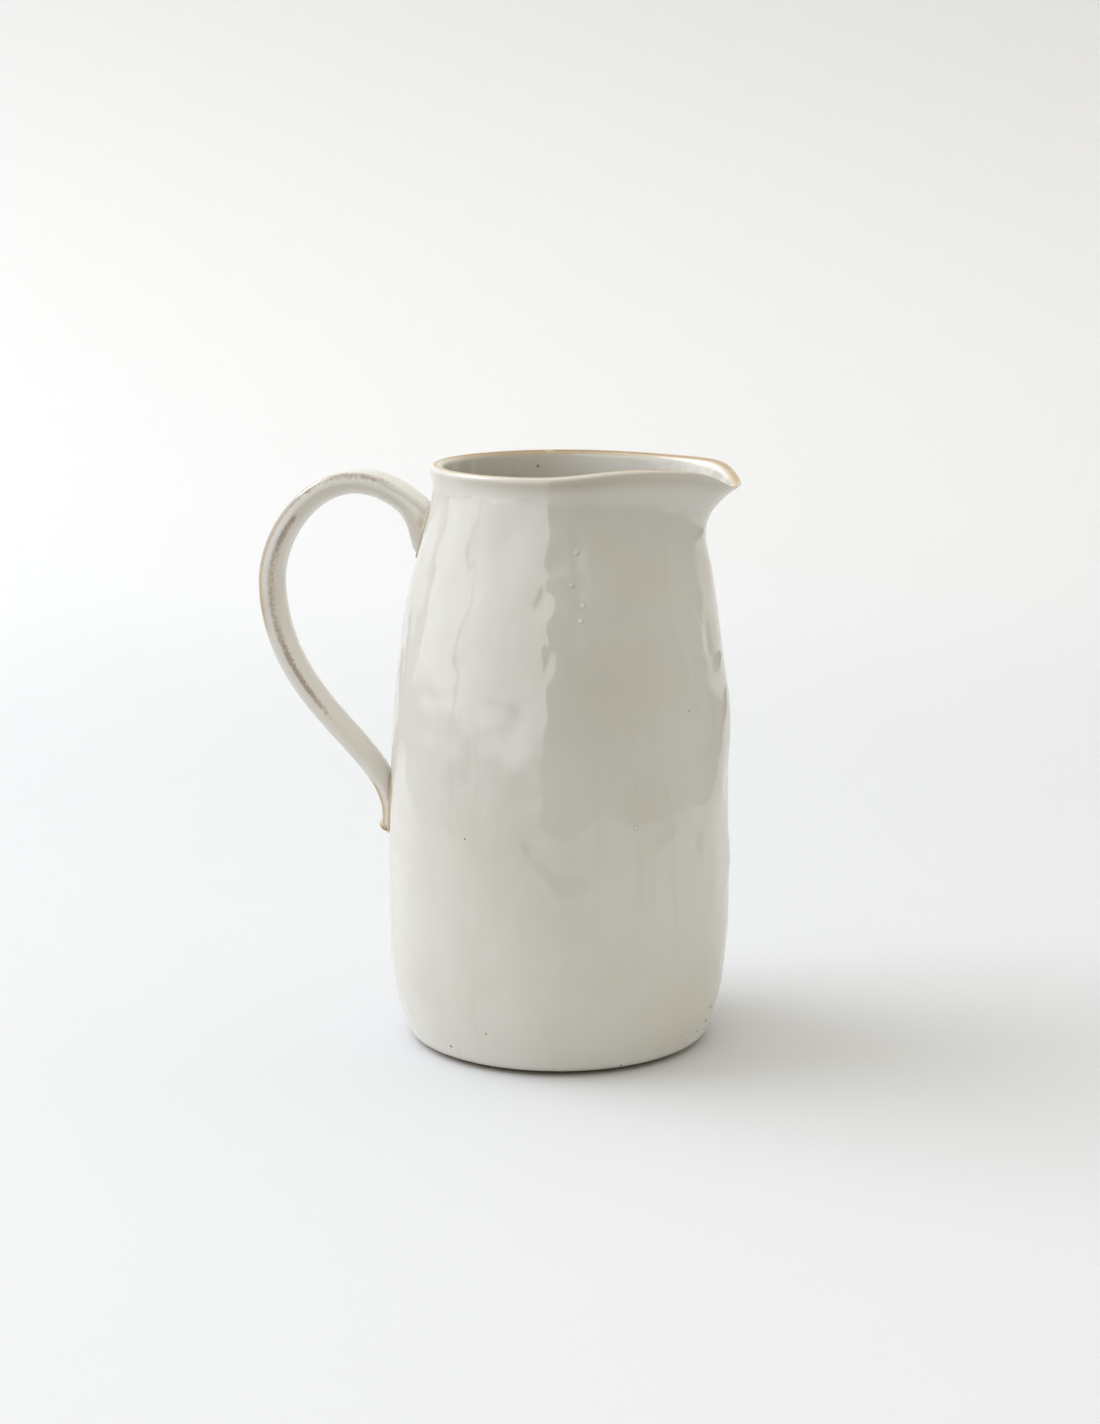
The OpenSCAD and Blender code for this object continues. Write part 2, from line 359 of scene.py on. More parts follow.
# The underside of the slab takes the same dark foot clay, painted shade under the pot
slab.data.materials.append(dark_shaded_foot_clay)
slab_sides = [0 if face.normal.z < -0.5 else 1 for face in slab.data.polygons]
finish_off(slab, floor_glaze, "glazed_clay", "base_disc")
slab.data.polygons.foreach_set("material_index", slab_sides)

# Foot ring
# The bare ring that the pitcher stands on: a flat coil of the same clay, wiped clean of glaze before
# firing and a little uneven in width from the wiping. Its bare brown is painted near black, as painted
# shade in the gap under the heel.
foot_out_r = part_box("foot_ring")[1].x
foot_w = 0.009
foot_round = 0.0004
foot_wobble = 0.0006

foot_in_r = foot_out_r - foot_w
foot_rings = [(foot_in_r, foot_h), (foot_in_r, foot_round), (foot_in_r + foot_round, 0)]
foot_rings += [(foot_in_r + foot_w * k / 4, 0) for k in (1, 2, 3)]
foot_rings += [(foot_out_r - foot_round, 0), (foot_out_r, foot_round), (foot_out_r, foot_h)]
foot = turned("foot_ring_bare", foot_rings, steps=128)


def uneven(point):
    """How far the wiped edge wanders in, around the outside of the ring."""
    turn = math.atan2(point.y, point.x)
    outer = math.hypot(point.x, point.y) > foot_out_r - 0.001 and foot_round < point.z < foot_h
    return outer * (0.5 + 0.25 * sin(3 * turn) + 0.25 * sin(7 * turn + 1))


press(foot, "NORMAL", -foot_wobble, uneven)
finish_off(foot, dark_shaded_foot_clay, "bare_clay", "foot_ring")

# Corner coil
# A thin roll of clay, pressed with a fingertip into the corner between the floor and the wall so that
# the base can't leak. It is glazed with the rest of the inside.
coil_leg = 0.008
coil_edge = 0.0008
coil_dabs = 38
coil_dab = 0.0005
dab_from, dab_to = 0.0035, 0.0085

corner_r = inside_r(floor_z) - clay_gap
coil_r = coil_leg - coil_edge
coil_top = floor_z + coil_leg
coil_rings = [(corner_r - coil_leg, floor_z), (corner_r - coil_leg / 2, floor_z), (corner_r, floor_z)]
coil_rings += [(inside_r(coil_top) - clay_gap, coil_top)]
for k in range(7):
    a = radians(90 * k / 6)
    coil_rings.append((corner_r - coil_leg + coil_r * cos(a), coil_top - coil_r * sin(a)))
coil = turned("corner_coil", coil_rings, steps=152)


def dab(point):
    """Depth of the row of fingertip dabs along the hollow of the coil."""
    hollow = corner_r - math.hypot(point.x, point.y) + point.z - floor_z
    dabbed = dab_from < hollow < dab_to and point.z > floor_z + 0.001
    return dabbed * (0.5 + 0.5 * cos(coil_dabs * math.atan2(point.y, point.x)))


press(coil, "NORMAL", -coil_dab, dab)
finish_off(coil, floor_glaze, "glazed_clay", "seam_coil")

# Wall
# The body of the pitcher, built up in coils and beaten smooth by hand: soft thumb dents stay in it.
# One skin runs from the heel over the rim and down the inside; it is cut at the seam under the rim band.
seam_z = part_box("rim_band")[0].z
band_h = height - seam_z
heel_round = 0.0055
lean = 0.0019
lip_reach = 0.020
lip_dip = 0.0074
lip_start_z = height - 0.040
lip_spread = 50
lip_turn = -4
dip_spread = 23
flare = 0.0016
lip_thinning = 0.0017
thinning_spread = 42
near_swell = 0.0029
swell_at = 53
swell_spread = 21
edge_row = 0.0006
wall_rows = 28
inner_rows = 16

# Dents and lumps: angle around the pot, height, half width, half height and depth
dents = [
    (-89.5, 0.1988, 0.006, 0.0048, 0.0006),
    (-76, 0.2075, 0.0028, 0.022, 0.0004),
    (-17, 0.1815, 0.003, 0.008, 0.0005),
    (-104, 0.222, 0.009, 0.010, 0.0006),
    (-96, 0.180, 0.012, 0.010, 0.0005),
    (-97, 0.147, 0.006, 0.011, 0.0006),
    (-117, 0.127, 0.006, 0.006, 0.00035),
    (-33.5, 0.1315, 0.009, 0.010, 0.0005),
    (-90, 0.1015, 0.004, 0.005, 0.0006),
    (-85, 0.095, 0.005, 0.005, 0.0006),
    (-79, 0.090, 0.006, 0.005, 0.0006),
    (-45, 0.083, 0.005, 0.004, 0.00035),
    (-25, 0.122, 0.008, 0.012, 0.0007),
    (-57, 0.128, 0.005, 0.024, 0.0005),
    (-118, 0.205, 0.016, 0.013, 0.0006),
    (-125, 0.060, 0.014, 0.020, 0.0004),
    (-60, 0.045, 0.018, 0.012, 0.0004),
    (-150, 0.120, 0.012, 0.020, 0.0007),
    (168, 0.045, 0.016, 0.014, 0.0006),
    (138, 0.165, 0.014, 0.012, 0.0008),
    (112, 0.085, 0.012, 0.018, 0.0007),
    (78, 0.190, 0.015, 0.010, 0.0007),
    (52, 0.120, 0.010, 0.016, 0.0008),
    (24, 0.070, 0.016, 0.012, 0.0006),
    (36, 0.165, 0.010, 0.014, 0.0006),
]
lumps = [
    (5, 0.2085, 0.024, 0.014, 0.0013),
    (5, 0.141, 0.024, 0.024, 0.0018),
    (5, 0.078, 0.020, 0.008, 0.0007),
    (-97, 0.136, 0.009, 0.011, 0.0004),
]
deepest = max(mark[4] for mark in dents + lumps)


def turn_of(point):
    """Angle of a point around the pot, in degrees."""
    return math.degrees(math.atan2(point.y, point.x))


def between(a, b):
    """Angle from b to a, the short way round."""
    return (a - b + 180) % 360 - 180


def around(turn, centre, spread, power=2):
    """1 at an angle around the pot, fading to both sides; a high power keeps it full over the spread."""
    return exp(-((abs(between(turn, centre)) / spread) ** power))


def rise(share):
    """Smooth step from 0 to 1."""
    share = min(1, max(0, share))
    return share * share * (3 - 2 * share)


wall_rings = [(inside_r(foot_h), foot_h), (inside_r(foot_h) + edge_row, foot_h)]
heel_z = foot_h + heel_round
for k in range(4):
    a = radians(90 - 30 * k)
    wall_rings.append((outside_r(heel_z) - heel_round * (1 - cos(a)), heel_z - heel_round * sin(a)))
row_low, row_high = 0.008, seam_z - 0.003
for k in range(wall_rows + 1):
    z = row_low + (row_high - row_low) * k / wall_rows
    wall_rings.append((outside_r(z), z))
side_z = height - rim_t / 2
crest_r = outside_r(side_z) - rim_t / 2
band_rows = [seam_z + 0.005, side_z - 0.002]
for z in band_rows:
    wall_rings.append((outside_r(z), z))
for k in range(7):
    a = radians(30 * k)
    wall_rings.append((crest_r + rim_t / 2 * cos(a), side_z + rim_t / 2 * sin(a)))
inner_z = [row_high + (floor_z - row_high) * k / inner_rows for k in range(inner_rows)]
for z in (*reversed(band_rows), *inner_z, floor_z - 0.004, foot_h + edge_row):
    wall_rings.append((inside_r(z), z))
wall = turned("body_wall_skin", wall_rings)
finish_with(wall, "SUBSURF", levels=2, render_levels=2)


def is_outside(point):
    """True on the outer face of the wall, while the pot is still round."""
    return math.hypot(point.x, point.y) > outside_r(point.z) - heel_t / 3


def felt(point, marks):
    """Share of the deepest mark that dents or lumps have at a point of the outer face."""
    if not is_outside(point):
        return 0
    depth = 0
    for angle, z, half_w, half_h, deep in marks:
        aside = radians(between(turn_of(point), angle)) * belly_r / half_w
        along = (point.z - z) / half_h
        depth += deep * exp(-aside * aside - along * along)
    return depth / deepest


def handled(point):
    """Where the outer face is uneven from the hands: all of it but the heel and the rim."""
    return is_outside(point) * rise(point.z / 0.03 - 0.2) * rise((height - point.z) / 0.02)


press(wall, "NORMAL", -deepest, lambda point: felt(point, dents))
press(wall, "NORMAL", deepest, lambda point: felt(point, lumps))
weigh(wall, "handled", handled)
for name, size, depth in (("palms", 0.045, 0.0016), ("fingers", 0.018, 0.0008)):
    feel = bpy.data.textures.new(name, "CLOUDS")
    feel.noise_scale = size
    feel.noise_depth = 1
    finish_with(wall, "DISPLACE", texture=feel, strength=depth, mid_level=0.5, vertex_group="handled")
wall.vertex_groups.clear()


def across(point):
    """How deep a point lies in the wall: 0 on the outer face, 1 on the inner face."""
    return (outside_r(point.z) - math.hypot(point.x, point.y)) / (outside_r(point.z) - inside_r(point.z))


def nearness(turn):
    """1 on the near side of the pot, 0 on the far side."""
    return rise(0.5 - 0.9 * sin(radians(turn + 20)))


def thin_on_wall(point):
    """Thin glaze: a line on the rim, darkest and broadest on the far side, and the edge of the heel."""
    slope = math.degrees(math.atan2(point.z - side_z, math.hypot(point.x, point.y) - crest_r))
    turn = turn_of(point)
    far = 1 - nearness(turn)
    strength = 0.7 + 0.15 * around(turn, 98, 60)
    spread = 22 + 23 * far + 8 * around(turn, 0, 25)
    line = strength * exp(-(((slope - 86 - 39 * far) / spread) ** 2))
    return max(line, 0.5 * rise((foot_h + 0.0012 - point.z) / 0.001))


def veil_on_wall(point):
    """A soft tan band below the rim, on the outer face of the near side."""
    turn = turn_of(point)
    strength = 0.2 * nearness(turn) + 0.6 * around(turn, -78, 45) + 0.3 * around(turn, 0, 25)
    return strength * (across(point) < 0.4) * exp(-(((height - point.z - 0.0034) / 0.0024) ** 2))


def on_inside(point):
    """1 on the inner face, fading out towards the rim's edge."""
    return rise(3 * across(point) - 1.5) * rise((height - 0.0008 - point.z) / 0.003)


def inside_shade_on_wall(point):
    """Painted shade on the inside: grey on the handle's side, which faces away from the window lamp, and in
    the lip, to dim it under the lamp.
    """
    turn = turn_of(point)
    return (0.57 * rise(-cos(radians(turn))) + around(turn, 0, 48, 4)) * on_inside(point)


def lit_inside_on_wall(point):
    """Painted light on the inside between the lip and the far side, where the window lamp shines in: a
    whiter glaze colour.
    """
    return around(turn_of(point), 80, 30) * on_inside(point)


def coat_edge(turn):
    """Height of the wavy lower edge of the second coat of glaze."""
    return 0.239 - 0.008 * around(turn, -12, 24) + 0.0012 * sin(radians(3 * turn + 60))


def coat_on_wall(point):
    """Height over the edge of the second coat: half on the edge, 1 a centimetre above."""
    return 0.5 + (point.z - coat_edge(turn_of(point))) / 0.02 if across(point) < 0.5 else 1


note(wall, "thin", thin_on_wall)
note(wall, "coat", coat_on_wall)
note(wall, "veil", veil_on_wall)
# Painted shade: the inside note greys the inside away from the lamp and in the lip
note(wall, "inside", inside_shade_on_wall)
# Painted light: the thick note marks the far inside that the lamp shines on
note(wall, "thick", lit_inside_on_wall)


def drawn_thin(point):
    """Share by which the inner face comes out where the clay is drawn into the lip."""
    lipness = around(turn_of(point), lip_turn, thinning_spread, 4)
    return across(point) * lipness * rise((point.z - lip_start_z) / (height - lip_start_z))


def flared(point, heading):
    """Share by which the outer face of the rim leans out, in one heading."""
    turn = turn_of(point)
    climb = max(0, point.z - coat_edge(turn)) / (height - coat_edge(turn))
    return (1 - across(point)) * climb * cos(radians(between(turn, heading)))


def above_seam(point):
    """How far up the rim band a point lies."""
    return (point.z - seam_z) / band_h


def dipped(turn):
    """Share of the dip around the rim: 1 at the tip of the lip."""
    return around(turn, lip_turn, dip_spread, 3.2)


def dip(point):
    """Share of the dip at a point: it grows from the seam to the rim."""
    return above_seam(point) * dipped(turn_of(point))


def swell(point):
    """Share of the rim's swell on the near shoulder of the lip."""
    turn = between(turn_of(point), lip_turn)
    return above_seam(point) * (turn < 0) * exp(-((abs(turn) - swell_at) / swell_spread) ** 2)


def lip(point):
    """Share of the lip's reach: it grows up to the rim and fades around it."""
    turn = turn_of(point)
    top = height - lip_dip * dipped(turn)
    climb = max(0, point.z - lip_start_z) / (top - lip_start_z)
    return around(turn, lip_turn, lip_spread, 2.75) * climb ** 2.3


press(wall, "X", lip_thinning, drawn_thin)
for axis, side, heading in (("X", 1, 0), ("X", -1, 180), ("Y", 1, 90), ("Y", -1, -90)):
    press(wall, axis, side * flare, lambda point: flared(point, heading))
press(wall, "Z", -lip_dip, dip)
press(wall, "Z", near_swell, swell)
press(wall, "X", lip_reach, lip)
press(wall, "X", lean, lambda point: rise((point.z - belly_z) / (height - belly_z)))


def select(piece, kind, chosen):
    """Selects the points, edges or faces of a piece that satisfy a test, and goes into edit mode."""
    bpy.ops.object.select_all(action="DESELECT")
    piece.select_set(True)
    bpy.context.view_layer.objects.active = piece
    bpy.ops.object.mode_set(mode="EDIT")
    bpy.ops.mesh.select_mode(type=kind)
    bpy.ops.mesh.select_all(action="DESELECT")
    bpy.ops.object.mode_set(mode="OBJECT")
    parts = {"VERT": piece.data.vertices, "EDGE": piece.data.edges, "FACE": piece.data.polygons}[kind]
    for part in parts:
        part.select = chosen(part)
    bpy.ops.object.mode_set(mode="EDIT")


def faces_in(face):
    """True for a face that looks to the pot's axis, or down from under the heel."""
    return face.normal.x * face.center.x + face.normal.y * face.center.y < 0 or face.normal.z < -0.9


# A copy of the outer face, against which the handle is later set
bpy.ops.object.select_all(action="DESELECT")
wall.select_set(True)
bpy.context.view_layer.objects.active = wall
bpy.ops.object.duplicate()
former = bpy.context.object
former.name = "former"
select(former, "FACE", faces_in)
bpy.ops.mesh.delete(type="FACE")
bpy.ops.object.mode_set(mode="OBJECT")

# Cut at the seam: the part above it becomes the rim band, and both cut faces are closed
select(wall, "VERT", lambda vertex: True)
bpy.ops.mesh.bisect(plane_co=(0, 0, seam_z), plane_no=(0, 0, 1))
bpy.ops.object.mode_set(mode="OBJECT")
select(wall, "FACE", lambda face: face.center.z > seam_z)
bpy.ops.mesh.separate(type="SELECTED")
bpy.ops.object.mode_set(mode="OBJECT")
band = next(piece for piece in bpy.context.selected_objects if piece is not wall)
band.name = "rim_band_skin"
for piece in (wall, band):
    select(piece, "VERT", lambda vertex: False)
    bpy.ops.mesh.select_non_manifold()
    bpy.ops.mesh.bridge_edge_loops()
    bpy.ops.object.mode_set(mode="OBJECT")


def on_wall(angle, z):
    """Place on the smooth outer face at an angle and a height."""
    r = outside_r(z)
    lean_here = lean * rise((z - belly_z) / (height - belly_z))
    return (r * cos(radians(angle)) + lean_here, r * sin(radians(angle)), z)


# Marks in the glaze: a place, the radius of the spot and its colour
brown = (0.22, 0.12, 0.07, 1)
rust = (0.62, 0.36, 0.12, 1)
blush = (0.69, 0.63, 0.57, 1)
dark = (0.10, 0.08, 0.06, 1)
speck = (0.26, 0.19, 0.13, 1)
chip = (0.80, 0.78, 0.73, 1)
painted_sparkle_white = (0.94, 0.94, 0.92, 1)
wall_marks = [
    (on_wall(-32.7, 0.1525), 0.0009, brown),
    (on_wall(-121, 0.1755), 0.0022, blush),
    (on_wall(-123.7, 0.0085), 0.0008, dark),
    (on_wall(-107, 0.0185), 0.0009, rust),
    (on_wall(-12.7, 0.018), 0.0012, dark),
    (on_wall(-14, 0.012), 0.0013, dark),
    (on_wall(-12.5, 0.008), 0.0009, dark),
    (on_wall(-20.5, 0.0095), 0.0007, dark),
    (on_wall(-113.5, 0.102), 0.0006, dark),
    (on_wall(-58, 0.0035), 0.0024, chip),
    (on_wall(-58, 0.0032), 0.0011, dark),
    ((-0.0161, 0.0477, 0.243), 0.0008, speck),
]

# Drops in two rows, and runs with their half width and half height
neck_drops = [(-76, 0.2205), (-78, 0.2075), (-74, 0.1995), (-75, 0.1935)]
belly_drops = [(-56.5, 0.143), (-55, 0.1255), (-56, 0.1075)]
drop_r = 0.0016
drop_places = [on_wall(angle, z) for angle, z in neck_drops + belly_drops]
wall_drops = [(place, drop_r) for place in drop_places]
# Painted highlights: a white dot on each drop, standing in for the lamp's sparkle on it
wall_marks += [(place, drop_r / 2, painted_sparkle_white) for place in drop_places]
wall_runs = [
    (on_wall(-26, 0.172), 0.008, 0.026),
    (on_wall(-40, 0.118), 0.006, 0.014),
    (on_wall(95, 0.17), 0.007, 0.03),
]
cream = (0.712, 0.692, 0.637, 1)
pooled = (0.68, 0.653, 0.587, 1)
wall_glaze = glaze("white_wall_glaze", cream, pooled, wall_marks, wall_drops, wall_runs)
finish_off(wall, wall_glaze, "glazed_clay", "body_wall")

# Rim band
# The last strip of clay, rounded at its edge and drawn out into the pouring lip with two fingers.
# The glaze runs thin on its edge, where the clay shows through as a honey line.
finish_off(band, wall_glaze, "glazed_clay", "rim_band")

# Handle strap
# A strap of clay pulled by hand, with a rounded-rectangle section. It leaves the wall under the rim,
# loops out and is lapped onto the belly at its tail. The glaze breaks to brown on its four long edges.
strap_w = 0.021
strap_t = 0.009
strap_round = 0.0026
strap_len = 0.2246
strap_cuts = 45
handle_stand = 0.051
handle_drop = 0.053
edge_thinning = 0.004
upper_thick = 0.0011
root_thick = 0.0022
root_slant = 36
root_narrow = (1, 0.86, 1)
smear_by = (-0.0055, 0, -0.0085)
tail_narrow = (1, 0.92, 0.8)
tail_lift = 0.0034
slip_t = 0.001

# Corners of its path, and how far and which way the curve is pulled at each
root = Vector((-0.0572, 0, 0.224))
out = Vector((-belly_r - handle_stand, 0, height - handle_drop))
tail = Vector((-0.0744, 0, 0.087))
root_pull = 0.051 * Vector((-cos(radians(50)), 0, sin(radians(50))))
crest_pull = Vector((0, 0, 0.029))
out_pull = Vector((0, 0, -0.059))
tail_pull = 0.039 * Vector((sin(radians(19)), 0, cos(radians(19))))

bpy.ops.object.select_all(action="DESELECT")
bpy.ops.mesh.primitive_cube_add(size=1, scale=(strap_len, strap_w, strap_t), location=(strap_len / 2, 0, 0))
bpy.ops.object.transform_apply(location=True, scale=True)
strap = bpy.context.object
strap.name = "handle_strap_pulled"


def runs_along(edge):
    """True for an edge that runs the whole length of the strap."""
    a, b = [strap.data.vertices[k].co for k in edge.vertices]
    return abs(a.x - b.x) > strap_len / 2


select(strap, "EDGE", runs_along)
bpy.ops.mesh.bevel(offset=strap_round, segments=2, affect="EDGES")
bpy.ops.object.mode_set(mode="OBJECT")
select(strap, "EDGE", runs_along)
bpy.ops.mesh.subdivide(number_cuts=strap_cuts)
bpy.ops.object.mode_set(mode="OBJECT")
select(strap, "EDGE", lambda edge: all(strap.data.vertices[k].co.x < 0.0001 for k in edge.vertices))
bpy.ops.transform.edge_crease(value=1)
bpy.ops.object.mode_set(mode="OBJECT")
finish_with(strap, "SUBSURF", levels=2, render_levels=2)


def arris(point, spread):
    """Nearness of a point of the straight strap to one of its four long edges."""
    gap = math.hypot(strap_w / 2 - abs(point.y), strap_t / 2 - abs(point.z)) - 0.4 * strap_round
    return exp(-((max(0, gap) / spread) ** 2))


crease_at = Vector((0.0015, 0.009, 0.0005))
crease_r = 0.0017


def thin_on_strap(point):
    """Thin glaze: along the outer edges, in the crease of the root and over the tip of the tail."""
    along = point.x / strap_len
    bends = rise((along - 0.2) / 0.12) * rise((0.58 - along) / 0.1) + rise((along - 0.86) / 0.05)
    edge = arris(point, 0.0012) * (0.75 * bends if point.z > 0 else 0.1)
    from_crease = (Vector((point.x, abs(point.y), point.z)) - crease_at).length
    crease = exp(-((from_crease / crease_r) ** 2))
    return max(edge, crease, rise((point.x - strap_len + 0.006) / 0.005))


def veil_on_strap(point):
    """A soft tan cast on the two sides near the root, and on the inner face over the crest."""
    along = point.x / strap_len
    aside = abs(point.y)
    side = rise((aside - 0.006) / 0.004) * rise((0.002 - point.z) / 0.002) * rise((0.3 - along) / 0.1)
    inner = rise((aside - 0.003) / 0.005) * rise(-2 * point.z / strap_t) * rise((0.62 - along) / 0.2)
    return max(0.35 * side, 0.3 * inner)


def worn_on_strap(point):
    """Bare speckled clay: along the inner edges, and on the outer edges over the crest."""
    along = point.x / strap_len
    scuffs = exp(-((along - 0.325) / 0.04) ** 2) + exp(-((along - 0.635) / 0.08) ** 2)
    inner = (0.68 + 0.52 * scuffs) * rise((along - 0.26) / 0.05) * rise((0.85 - along) / 0.2)
    past_root = rise((along - 0.2) / 0.1)
    crest = (0.8 + 0.3 * past_root) * rise((along - 0.03) / 0.1) * rise((0.48 - along) / 0.1)
    spread = 0.0025 - 0.0010 * (scuffs if point.z < 0 else past_root)
    return arris(point, spread) * (inner if point.z < 0 else crest)


note(strap, "thin", thin_on_strap)
note(strap, "veil", veil_on_strap)
note(strap, "worn", worn_on_strap)
weigh(strap, "root", lambda point: rise((0.0025 - point.x) / 0.002))

# The inside is rounded off by the fingers that pulled it, so that the edges are thinner than the middle
press(strap, "Z", edge_thinning, lambda point: (2 * abs(point.y) / strap_w) ** 2.2 * -2 * point.z / strap_t)


def upper_half(point):
    """1 along the upper part of the strap, 0 towards its tail."""
    return rise((0.75 - point.x / strap_len) / 0.25)


# It is thicker along its upper half, most of all where it leaves the wall
press(strap, "Z", -upper_thick, lambda point: -2 * point.z / strap_t * upper_half(point))
press(strap, "Z", root_thick, lambda point: 2 * point.z / strap_t * exp(-point.x / 0.019))

# The root is cut at a slant to lie on the wall, and its underside is smeared down the wall with a thumb
slant = strap_t / 2 * math.tan(radians(root_slant))
for side in (1, -1):
    press(strap, "X", side * slant, lambda point: 2 * side * point.z / strap_t * rise(1 - point.x / 0.012))
soft = {"use_proportional_edit": True, "proportional_edit_falloff": "SMOOTH"}
sharp = {"use_proportional_edit": True, "proportional_edit_falloff": "SHARP"}
select(strap, "VERT", lambda vertex: vertex.co.x < -slant * 0.7)
bpy.ops.transform.translate(value=smear_by, proportional_size=0.016, **sharp)
bpy.ops.object.mode_set(mode="OBJECT")

# Both ends are narrower than the middle, and the tip of the tail is turned out
select(strap, "VERT", lambda vertex: vertex.co.x < slant * 1.05 - 0.0002)
bpy.ops.transform.resize(value=root_narrow, center_override=(0, 0, 0), proportional_size=0.03, **soft)
bpy.ops.object.mode_set(mode="OBJECT")
tail_end = (strap_len, 0, 0)
select(strap, "VERT", lambda vertex: vertex.co.x > strap_len - 0.0004)
bpy.ops.transform.resize(value=tail_narrow, center_override=tail_end, proportional_size=0.05, **soft)
bpy.ops.transform.translate(value=(0, 0, tail_lift), proportional_size=0.009, **soft)
bpy.ops.object.mode_set(mode="OBJECT")

# The path of the handle, along which the strap is bent
bpy.ops.object.select_all(action="DESELECT")
bpy.ops.curve.primitive_bezier_curve_add()
loop = bpy.context.object
loop.data.use_deform_bounds = False
spline = loop.data.splines[0]
spline.bezier_points.add(1)
spline.resolution_u = 64
corners = [(root, root_pull, root_pull), (out, crest_pull, out_pull), (tail, tail_pull, tail_pull)]
for knot, (corner, before, after) in zip(spline.bezier_points, corners):
    knot.handle_left_type = knot.handle_right_type = "FREE"
    knot.co = corner
    knot.handle_left = corner + before
    knot.handle_right = corner + after
finish_with(strap, "CURVE", object=loop, deform_axis="POS_X")
bpy.data.objects.remove(loop)
on_slip = {"target": former, "offset": slip_t}
finish_with(strap, "SHRINKWRAP", wrap_mode="ABOVE_SURFACE", vertex_group="root", **on_slip)
finish_with(strap, "SHRINKWRAP", wrap_mode="OUTSIDE", **on_slip)
strap.vertex_groups.clear()
# Painted light: the strap's glaze is the wall's glaze painted lighter, for the extra light the handle
# catches
lit_strap_cream = (0.79, 0.77, 0.72, 1)
lit_strap_pooled = (0.76, 0.73, 0.67, 1)
strap_glaze = glaze("broken_strap_glaze", lit_strap_cream, lit_strap_pooled)
finish_off(strap, strap_glaze, "glazed_clay", "handle_strap")

# Slip in the two handle joints
# Liquid clay that lutes the strap to the wall. It squeezes out into a soft bead around the root and
# along the lapped tail, where the glaze crawls off it and leaves brown and tan lines.
bead_r = 0.0008
bead_glaze = glaze("crawled_bead_glaze", cream, pooled)


def slip_bead(name, low_z, high_z, thin, node):
    """Draws a thinly glazed bead around the part of the strap that lies on the wall between two heights."""
    bpy.context.view_layer.update()
    touching = set()
    for vertex in strap.data.vertices:
        found = former.closest_point_on_mesh(vertex.co)[1]
        if low_z < vertex.co.z < high_z and (vertex.co - found).length < slip_t * 1.15:
            touching.add(vertex.index)
    select(strap, "FACE", lambda face: touching.issuperset(face.vertices))
    bpy.ops.mesh.region_to_loop()
    bpy.ops.mesh.duplicate()
    bpy.ops.mesh.separate(type="SELECTED")
    bpy.ops.object.mode_set(mode="OBJECT")
    bead = next(piece for piece in bpy.context.selected_objects if piece is not strap)
    bead.name = name
    bpy.ops.object.select_all(action="DESELECT")
    bead.select_set(True)
    bpy.context.view_layer.objects.active = bead
    finish_with(bead, "SMOOTH", factor=0.5, iterations=6)
    finish_with(bead, "SHRINKWRAP", target=former, wrap_mode="ABOVE_SURFACE", offset=slip_t / 2)
    bpy.ops.object.convert(target="CURVE")
    bead.data.bevel_depth = bead_r
    bead.data.bevel_resolution = 4
    bpy.ops.object.convert(target="MESH")
    bead.data.materials.clear()
    for kept in ("thin", "veil", "worn"):
        layer = bead.data.attributes.get(kept)
        if layer:
            bead.data.attributes.remove(layer)
    note(bead, "thin", lambda point: thin)
    finish_off(bead, bead_glaze, "bare_clay", node)


slip_bead("upper_slip_bead", 0.2, 0.25, 0.2, "upper_slip")
slip_bead("lower_slip_bead", 0.08, 0.16, 0.5, "lower_slip")
bpy.data.objects.remove(former)

# Stage
# A white paper sweep under and behind the pitcher, with an apron of the same paper in front. It is lit by
# one broad soft lamp from the left, with a smaller bright one in it. Cards that the camera doesn't see are
# mirrored in the glaze, as its dark and light fields.
view_turn = radians(8.5)
paper_front = -0.58
paper_back = 1.1
apron_front = -12.0
dim_front = -4.0
paper_w = 24.0
sweep_r = 0.8
sweep_h = 1.6
front_white = (0.70, 0.705, 0.72, 1)
back_white = (0.915, 0.908, 0.905, 1)

bpy.ops.object.select_all(action="DESELECT")
bpy.ops.mesh.primitive_plane_add(size=1, location=(0, (paper_front + paper_back) / 2, 0))
paper = bpy.context.object
paper.name = "paper"
paper.scale = (paper_w, paper_back - paper_front, 1)
bpy.ops.object.transform_apply(location=True, scale=True)
select(paper, "VERT", lambda vertex: vertex.co.y > paper_back - 0.01)
bpy.ops.mesh.spin(steps=24, angle=radians(-90), center=(0, paper_back, sweep_r), axis=(1, 0, 0))
bpy.ops.mesh.extrude_region_move(TRANSFORM_OT_translate={"value": (0, 0, sweep_h)})
bpy.ops.object.mode_set(mode="OBJECT")
bpy.ops.object.shade_smooth()
paper.rotation_euler.z = view_turn
paper_white, tree, shader, place = start_material("paper_white", 0.9)
own = add(tree, "SeparateXYZ", {"Vector": place})
back_share = fade(tree, math_of(tree, "ADD", own["Y"], own["Z"]), 0.35, 2.2)
paper_colour = blend(tree, back_share, front_white, back_white)
tree.links.new(paper_colour, shader.inputs["Base Color"])
paper.data.materials.append(paper_white)


def flat(name, place, size, tilt=0, turn=0):
    """Adds a flat sheet to the stage, placed as seen from the camera."""
    bpy.ops.mesh.primitive_plane_add(size=1)
    sheet = bpy.context.object
    sheet.name = name
    sheet.scale = (*size, 1)
    sheet.location = Vector(place)
    sheet.location.rotate(Euler((0, 0, view_turn)))
    sheet.rotation_euler = (radians(tilt), 0, radians(turn) + view_turn)
    return sheet


